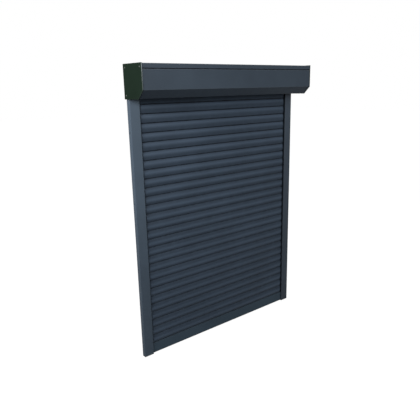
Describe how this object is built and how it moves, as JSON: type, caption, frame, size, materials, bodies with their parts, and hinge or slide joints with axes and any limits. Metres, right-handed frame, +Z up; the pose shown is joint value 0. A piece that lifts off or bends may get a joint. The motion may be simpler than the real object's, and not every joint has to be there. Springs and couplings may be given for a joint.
{
  "type": "exterior roller shutter",
  "caption": "Front-mounted exterior roller shutter: square box with a 45 degree cut, guide rails and a closed curtain of hooked crowned slats that winds on an octagonal tube.",
  "frame": {"origin": "middle of the width and of the box depth, level with the rail feet", "axes": "+X along the box to the right as seen from outside, +Y towards the wall, +Z up"},
  "size_m": [1.002, 0.137, 1.302],
  "materials": {
    "slat_coat": "roll-formed aluminium strip with a baked anthracite lacquer, satin",
    "rail_coat": "extruded aluminium with an anthracite powder coat, satin",
    "box_coat": "folded aluminium sheet with an anthracite powder coat, satin",
    "bar_coat": "extruded aluminium with a dark anthracite powder coat, satin",
    "cap_coat": "die-cast aluminium with a dark green coat, semi-matt",
    "galvanised": "galvanised sheet steel",
    "bright_steel": "bright zinc plated steel",
    "moulded_dark": "black moulded plastic, fine grain",
    "moulded_grey": "grey moulded plastic",
    "pile": "black woven pile",
    "seal_rubber": "black extruded rubber"
  },
  "bodies": {
    "frame": {"box_top_shell": "box_coat", "end_cap_left": "cap_coat", "end_cap_right": "cap_coat", "cap_rivets": "bright_steel", "rail_left": "rail_coat", "rail_right": "rail_coat", "rail_foot_left": "moulded_dark", "rail_foot_right": "moulded_dark", "rail_seals_left": "pile", "rail_seals_right": "pile", "inlet_guide_left": "moulded_dark", "inlet_guide_right": "moulded_dark", "bearing_left": "moulded_grey", "bearing_right": "moulded_grey", "strap_outlet": "moulded_dark"},
    "cover": {"front_cover": "box_coat", "cover_screws": "bright_steel"},
    "roller": {"winding_tube": "galvanised", "idler_cap": "moulded_grey", "idler_spindle": "bright_steel", "strap_pulley": "moulded_grey", "pulley_axle": "bright_steel", "curtain_hangers": "galvanised", "hanger_rivets": "bright_steel"},
    "bar": {"bottom_bar": "bar_coat", "bottom_seal": "seal_rubber", "bar_end_plugs": "moulded_dark"},
    "curtain_01": {"slat_01": "slat_coat"},
    "curtain_02": {"slat_02": "slat_coat"},
    "curtain_03": {"slat_03": "slat_coat"},
    "curtain_04": {"slat_04": "slat_coat"},
    "curtain_05": {"slat_05": "slat_coat"},
    "curtain_06": {"slat_06": "slat_coat"},
    "curtain_07": {"slat_07": "slat_coat"},
    "curtain_08": {"slat_08": "slat_coat"},
    "curtain_09": {"slat_09": "slat_coat"},
    "curtain_10": {"slat_10": "slat_coat"},
    "curtain_11": {"slat_11": "slat_coat"},
    "curtain_12": {"slat_12": "slat_coat"},
    "curtain_13": {"slat_13": "slat_coat"},
    "curtain_14": {"slat_14": "slat_coat"},
    "curtain_15": {"slat_15": "slat_coat"},
    "curtain_16": {"slat_16": "slat_coat"},
    "curtain_17": {"slat_17": "slat_coat"},
    "curtain_18": {"slat_18": "slat_coat"},
    "curtain_19": {"slat_19": "slat_coat"},
    "curtain_20": {"slat_20": "slat_coat"},
    "curtain_21": {"slat_21": "slat_coat"},
    "curtain_22": {"slat_22": "slat_coat"},
    "curtain_23": {"slat_23": "slat_coat"},
    "curtain_24": {"slat_24": "slat_coat"},
    "curtain_25": {"slat_25": "slat_coat"},
    "curtain_26": {"slat_26": "slat_coat"},
    "curtain_27": {"slat_27": "slat_coat"},
    "curtain_28": {"slat_28": "slat_coat"},
    "curtain_29": {"slat_29": "slat_coat"}
  },
  "joints": [
    {"name": "curtain_lift", "type": "slide", "parent": "frame", "child": "bar", "axis": [0, 0, 1], "range_m": [0, 1.1]},
    {"name": "tube_turn", "type": "hinge", "parent": "frame", "child": "roller", "pos_m": [0, 0, 1.2335], "axis": [1, 0, 0], "range_deg": [0, 1441], "deforming": ["curtain_hangers"]},
    {"name": "cover_open", "type": "hinge", "parent": "frame", "child": "cover", "pos_m": [0, -0.0653, 1.282], "axis": [-1, 0, 0], "range_deg": [0, 40]},
    {"name": "slat_01_lift", "type": "slide", "parent": "frame", "child": "curtain_01", "axis": [0, 0, 1], "range_m": [0, 1.1005], "deforming": ["slat_01"]},
    {"name": "slat_02_lift", "type": "slide", "parent": "frame", "child": "curtain_02", "axis": [0, 0, 1], "range_m": [0, 1.065], "deforming": ["slat_02"]},
    {"name": "slat_03_lift", "type": "slide", "parent": "frame", "child": "curtain_03", "axis": [0, 0, 1], "range_m": [0, 1.0295], "deforming": ["slat_03"]},
    {"name": "slat_04_lift", "type": "slide", "parent": "frame", "child": "curtain_04", "axis": [0, 0, 1], "range_m": [0, 0.994], "deforming": ["slat_04"]},
    {"name": "slat_05_lift", "type": "slide", "parent": "frame", "child": "curtain_05", "axis": [0, 0, 1], "range_m": [0, 0.9585], "deforming": ["slat_05"]},
    {"name": "slat_06_lift", "type": "slide", "parent": "frame", "child": "curtain_06", "axis": [0, 0, 1], "range_m": [0, 0.923], "deforming": ["slat_06"]},
    {"name": "slat_07_lift", "type": "slide", "parent": "frame", "child": "curtain_07", "axis": [0, 0, 1], "range_m": [0, 0.8875], "deforming": ["slat_07"]},
    {"name": "slat_08_lift", "type": "slide", "parent": "frame", "child": "curtain_08", "axis": [0, 0, 1], "range_m": [0, 0.852], "deforming": ["slat_08"]},
    {"name": "slat_09_lift", "type": "slide", "parent": "frame", "child": "curtain_09", "axis": [0, 0, 1], "range_m": [0, 0.8165], "deforming": ["slat_09"]},
    {"name": "slat_10_lift", "type": "slide", "parent": "frame", "child": "curtain_10", "axis": [0, 0, 1], "range_m": [0, 0.781], "deforming": ["slat_10"]},
    {"name": "slat_11_lift", "type": "slide", "parent": "frame", "child": "curtain_11", "axis": [0, 0, 1], "range_m": [0, 0.7455], "deforming": ["slat_11"]},
    {"name": "slat_12_lift", "type": "slide", "parent": "frame", "child": "curtain_12", "axis": [0, 0, 1], "range_m": [0, 0.71], "deforming": ["slat_12"]},
    {"name": "slat_13_lift", "type": "slide", "parent": "frame", "child": "curtain_13", "axis": [0, 0, 1], "range_m": [0, 0.6745], "deforming": ["slat_13"]},
    {"name": "slat_14_lift", "type": "slide", "parent": "frame", "child": "curtain_14", "axis": [0, 0, 1], "range_m": [0, 0.639], "deforming": ["slat_14"]},
    {"name": "slat_15_lift", "type": "slide", "parent": "frame", "child": "curtain_15", "axis": [0, 0, 1], "range_m": [0, 0.6035], "deforming": ["slat_15"]},
    {"name": "slat_16_lift", "type": "slide", "parent": "frame", "child": "curtain_16", "axis": [0, 0, 1], "range_m": [0, 0.568], "deforming": ["slat_16"]},
    {"name": "slat_17_lift", "type": "slide", "parent": "frame", "child": "curtain_17", "axis": [0, 0, 1], "range_m": [0, 0.5325], "deforming": ["slat_17"]},
    {"name": "slat_18_lift", "type": "slide", "parent": "frame", "child": "curtain_18", "axis": [0, 0, 1], "range_m": [0, 0.497], "deforming": ["slat_18"]},
    {"name": "slat_19_lift", "type": "slide", "parent": "frame", "child": "curtain_19", "axis": [0, 0, 1], "range_m": [0, 0.4615], "deforming": ["slat_19"]},
    {"name": "slat_20_lift", "type": "slide", "parent": "frame", "child": "curtain_20", "axis": [0, 0, 1], "range_m": [0, 0.426], "deforming": ["slat_20"]},
    {"name": "slat_21_lift", "type": "slide", "parent": "frame", "child": "curtain_21", "axis": [0, 0, 1], "range_m": [0, 0.3905], "deforming": ["slat_21"]},
    {"name": "slat_22_lift", "type": "slide", "parent": "frame", "child": "curtain_22", "axis": [0, 0, 1], "range_m": [0, 0.355], "deforming": ["slat_22"]},
    {"name": "slat_23_lift", "type": "slide", "parent": "frame", "child": "curtain_23", "axis": [0, 0, 1], "range_m": [0, 0.3195], "deforming": ["slat_23"]},
    {"name": "slat_24_lift", "type": "slide", "parent": "frame", "child": "curtain_24", "axis": [0, 0, 1], "range_m": [0, 0.284], "deforming": ["slat_24"]},
    {"name": "slat_25_lift", "type": "slide", "parent": "frame", "child": "curtain_25", "axis": [0, 0, 1], "range_m": [0, 0.2485], "deforming": ["slat_25"]},
    {"name": "slat_26_lift", "type": "slide", "parent": "frame", "child": "curtain_26", "axis": [0, 0, 1], "range_m": [0, 0.213], "deforming": ["slat_26"]},
    {"name": "slat_27_lift", "type": "slide", "parent": "frame", "child": "curtain_27", "axis": [0, 0, 1], "range_m": [0, 0.1775], "deforming": ["slat_27"]},
    {"name": "slat_28_lift", "type": "slide", "parent": "frame", "child": "curtain_28", "axis": [0, 0, 1], "range_m": [0, 0.142], "deforming": ["slat_28"]},
    {"name": "slat_29_lift", "type": "slide", "parent": "frame", "child": "curtain_29", "axis": [0, 0, 1], "range_m": [0, 0.1065], "deforming": ["slat_29"]}
  ],
  "couplings": [
    {"joint": "tube_turn", "follows": "curtain_lift", "rad_per_m": 22.848},
    {"joint": "slat_01_lift", "follows": "curtain_lift", "ratio": 1},
    {"joint": "slat_02_lift", "follows": "curtain_lift", "ratio": 0.96773},
    {"joint": "slat_03_lift", "follows": "curtain_lift", "ratio": 0.93546},
    {"joint": "slat_04_lift", "follows": "curtain_lift", "ratio": 0.90318},
    {"joint": "slat_05_lift", "follows": "curtain_lift", "ratio": 0.87091},
    {"joint": "slat_06_lift", "follows": "curtain_lift", "ratio": 0.83864},
    {"joint": "slat_07_lift", "follows": "curtain_lift", "ratio": 0.80636},
    {"joint": "slat_08_lift", "follows": "curtain_lift", "ratio": 0.77409},
    {"joint": "slat_09_lift", "follows": "curtain_lift", "ratio": 0.74182},
    {"joint": "slat_10_lift", "follows": "curtain_lift", "ratio": 0.70954},
    {"joint": "slat_11_lift", "follows": "curtain_lift", "ratio": 0.67727},
    {"joint": "slat_12_lift", "follows": "curtain_lift", "ratio": 0.645},
    {"joint": "slat_13_lift", "follows": "curtain_lift", "ratio": 0.61273},
    {"joint": "slat_14_lift", "follows": "curtain_lift", "ratio": 0.58046},
    {"joint": "slat_15_lift", "follows": "curtain_lift", "ratio": 0.54818},
    {"joint": "slat_16_lift", "follows": "curtain_lift", "ratio": 0.51591},
    {"joint": "slat_17_lift", "follows": "curtain_lift", "ratio": 0.48364},
    {"joint": "slat_18_lift", "follows": "curtain_lift", "ratio": 0.45136},
    {"joint": "slat_19_lift", "follows": "curtain_lift", "ratio": 0.41909},
    {"joint": "slat_20_lift", "follows": "curtain_lift", "ratio": 0.38682},
    {"joint": "slat_21_lift", "follows": "curtain_lift", "ratio": 0.35454},
    {"joint": "slat_22_lift", "follows": "curtain_lift", "ratio": 0.32227},
    {"joint": "slat_23_lift", "follows": "curtain_lift", "ratio": 0.29},
    {"joint": "slat_24_lift", "follows": "curtain_lift", "ratio": 0.25773},
    {"joint": "slat_25_lift", "follows": "curtain_lift", "ratio": 0.22545},
    {"joint": "slat_26_lift", "follows": "curtain_lift", "ratio": 0.19318},
    {"joint": "slat_27_lift", "follows": "curtain_lift", "ratio": 0.16091},
    {"joint": "slat_28_lift", "follows": "curtain_lift", "ratio": 0.12864},
    {"joint": "slat_29_lift", "follows": "curtain_lift", "ratio": 0.096364}
  ]
}
